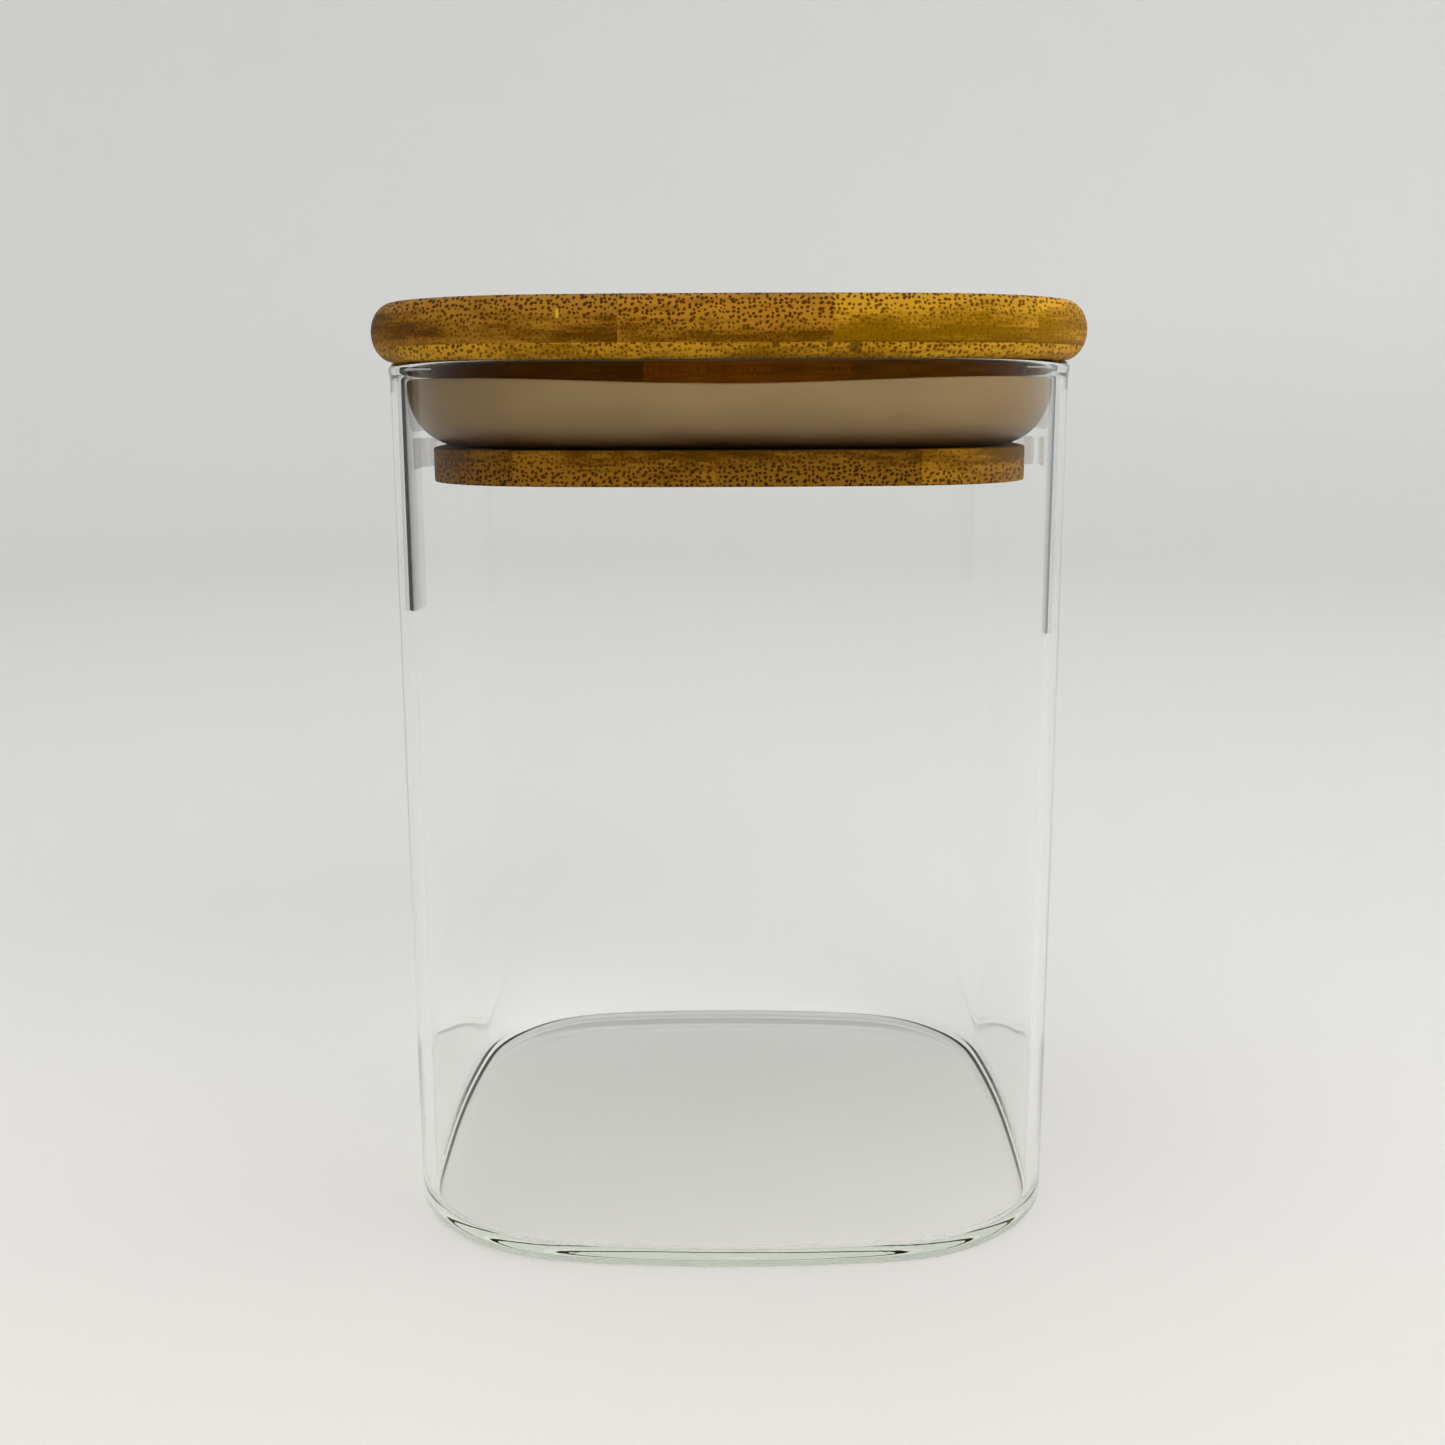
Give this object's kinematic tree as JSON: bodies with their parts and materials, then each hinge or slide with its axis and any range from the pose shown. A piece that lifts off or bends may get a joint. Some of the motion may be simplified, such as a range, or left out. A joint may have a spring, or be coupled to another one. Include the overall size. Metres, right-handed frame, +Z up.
{
  "type": "food canister",
  "caption": "Square glass storage canister with rounded corners and a lift-off laminated bamboo lid that seals inside the rim with a silicone lip ring.",
  "frame": {"origin": "centre of the jar's base, on the surface that it stands on", "axes": "+Z up along the jar's height, -Y out of the front, +X to the right as seen from the front"},
  "size_m": [0.1048, 0.1048, 0.1352],
  "materials": {
    "clear_glass": "clear, polished, faint green at the edges",
    "seal_silicone": "translucent taupe silicone, satin",
    "bamboo_amber": "laminated bamboo, amber, dark pores, satin oil",
    "bamboo_brown": "laminated bamboo, brown, dark pores, satin oil",
    "bamboo_golden": "laminated bamboo, golden, fine dark pores, satin oil"
  },
  "bodies": {
    "jar": {"glass_jar": "clear_glass"},
    "lid": {"silicone_seal": "seal_silicone", "top_ply_strip_1": "bamboo_amber", "top_ply_strip_2": "bamboo_brown", "top_ply_strip_3": "bamboo_amber", "top_ply_strip_4": "bamboo_golden", "top_ply_strip_5": "bamboo_amber", "neck_ply_strip_1": "bamboo_golden", "neck_ply_strip_2": "bamboo_amber", "neck_ply_strip_3": "bamboo_brown", "neck_ply_strip_4": "bamboo_golden", "neck_ply_strip_5": "bamboo_amber", "core_ply_strip_1": "bamboo_amber", "core_ply_strip_2": "bamboo_golden", "core_ply_strip_3": "bamboo_amber", "core_ply_strip_4": "bamboo_brown", "foot_ply_strip_1": "bamboo_golden", "foot_ply_strip_2": "bamboo_amber", "foot_ply_strip_3": "bamboo_golden", "foot_ply_strip_4": "bamboo_amber"}
  },
  "joints": [
    {"name": "lid_lift", "type": "slide", "parent": "jar", "child": "lid", "axis": [0, 0, 1], "range_m": [0, 0.06]}
  ]
}
